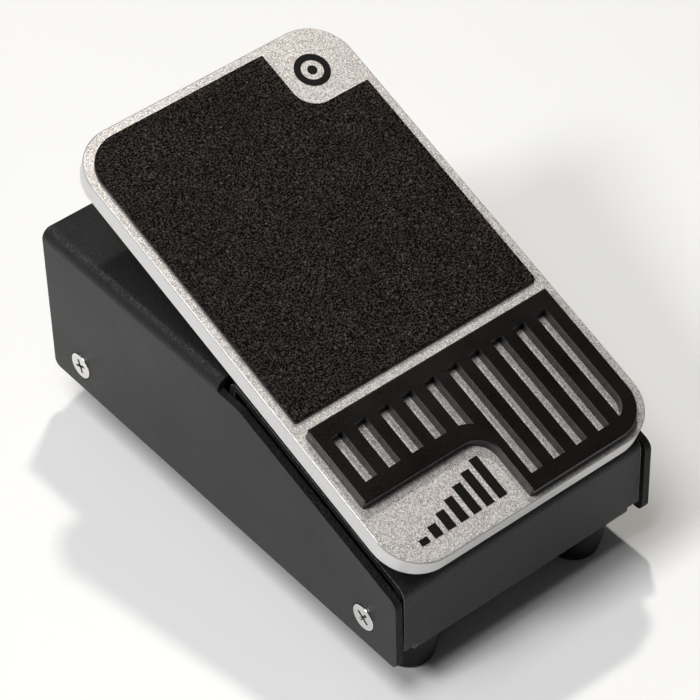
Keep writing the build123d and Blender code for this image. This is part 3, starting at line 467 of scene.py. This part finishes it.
LOOKS = {
    "cover_shell": "cover_coat",
    "base_pan": "pan_coat",
    "treadle_plate": "fleck_metal",
    "grip_pad": "grit_sheet",
    "ribbed_pad": "rib_rubber",
    "heel_mark": "ink",
    "toe_mark": "ink",
    "foot_heel_left": "foot_rubber",
    "foot_heel_right": "foot_rubber",
    "foot_toe_left": "foot_rubber",
    "foot_toe_right": "foot_rubber",
    "heel_bumper": "foot_rubber",
    "toe_bumper": "foot_rubber",
    "side_screws": "nickel",
    "jack_nuts": "nickel",
    "input_jack_barrel": "nickel",
    "output_jack_barrel": "nickel",
    "input_jack_contacts": "brass",
    "output_jack_contacts": "brass",
    "input_jack_housing": "black_moulding",
    "output_jack_housing": "black_moulding",
    "pivot_bracket": "bracket_sheet",
    "treadle_bracket": "bracket_sheet",
    "pot_bracket": "bracket_sheet",
    "pivot_shaft": "ground_shaft",
    "bushing_left": "bronze",
    "bushing_right": "bronze",
    "thrust_washers": "nylon",
    "sector_gear": "nylon",
    "pinion_gear": "brass",
    "pot_shaft": "die_cast",
    "pot_base": "die_cast",
    "pot_track": "phenolic_board",
    "pot_wiper": "black_moulding",
    "wire_input": "red_insulation",
    "wire_output": "white_insulation",
    "wire_ground": "black_moulding",
    "wire_link": "black_moulding",
}


def make_materials():
    materials = {
        "cover_coat": powder_coat("cover_coat", cut_edges=True),
        "pan_coat": powder_coat("pan_coat", cut_edges=False),
        "fleck_metal": fleck_metal(),
        "grit_sheet": grit_sheet(),
    }
    for recipe, table in ((worked_metal, METALS), (plain_plastic, PLASTICS), (moulded_rubber, RUBBERS)):
        for name, values in table.items():
            materials[name] = recipe(name, **values)
    return materials


def dress():
    """Gives each piece its material. Pieces that LOOKS leaves out are zinc-plated steel."""
    materials = make_materials()
    for name, piece in nodes.items():
        piece.data.materials.clear()
        piece.data.materials.append(materials[LOOKS.get(name, "zinc_plate")])


# ---------------------------------------------------------------- studio
# Sizes and distances are in metres, angles in degrees and powers in watts.
FLOOR_HALF = 3.0
FLOOR_TONES = ((0.92, 0.92, 0.922), (0.94, 0.94, 0.942))
FLOOR_SCALE = 3.0
FLOOR_DETAIL = 2.0
FLOOR_ROUGH = 0.45
WORLD_STRENGTH = 0.06
LIGHT_AIM = Vector((0, 0, 0.03))
WHITE = (1.0, 1.0, 1.0)
NEAR_WHITE = (1.0, 0.995, 0.995)
WARM_WHITE = (1.0, 0.97, 0.89)


def make_floor():
    corners = [(x * FLOOR_HALF, y * FLOOR_HALF, 0) for x, y in ((-1, -1), (1, -1), (1, 1), (-1, 1))]
    mesh = bpy.data.meshes.new("floor")
    mesh.from_pydata(corners, [], [(0, 1, 2, 3)])
    floor = bpy.data.objects.new("floor", mesh)
    bpy.context.scene.collection.objects.link(floor)
    g = Graph("floor")
    tone = g.blend(g.span(g.noise(FLOOR_SCALE, FLOOR_DETAIL), MIDDLE), *FLOOR_TONES)
    floor.data.materials.append(g.fill_shader(base_color=tone, roughness=FLOOR_ROUGH))


def make_world():
    world = bpy.data.worlds.new("studio")
    bpy.context.scene.world = world
    world.use_nodes = True
    background = world.node_tree.nodes["Background"]
    background.inputs["Color"].default_value = (*WHITE, 1.0)
    background.inputs["Strength"].default_value = WORLD_STRENGTH


def area_light(name, azimuth, elevation, distance, width, power, tint=WHITE):
    """A square light that faces the pedal. Its azimuth is counted from +X towards +Y."""
    level = distance * cos(radians(elevation))
    height = distance * sin(radians(elevation))
    place = Vector((level * cos(radians(azimuth)), level * sin(radians(azimuth)), height))
    data = bpy.data.lights.new(name, "AREA")
    data.shape = "SQUARE"
    data.size = width
    data.energy = power
    data.color = tint
    light = bpy.data.objects.new(name, data)
    turn = (LIGHT_AIM - place).to_track_quat("-Z", "Y").to_matrix().to_4x4()
    light.matrix_world = Matrix.Translation(place) @ turn
    bpy.context.scene.collection.objects.link(light)


def make_lights():
    area_light(
        "left_box", azimuth=180, elevation=46, distance=2.0, width=0.36, power=14.5, tint=NEAR_WHITE
    )
    area_light(
        "back_box", azimuth=46, elevation=66, distance=0.8, width=0.045, power=1.95, tint=WARM_WHITE
    )
    area_light("top_box", azimuth=-166, elevation=71, distance=1.3, width=0.5, power=7.8)
    area_light("toe_box", azimuth=112, elevation=52, distance=1.2, width=0.2, power=0.7)


make_camera()
dress()
make_floor()
make_world()
make_lights()
bpy.context.scene.view_settings.view_transform = "Standard"
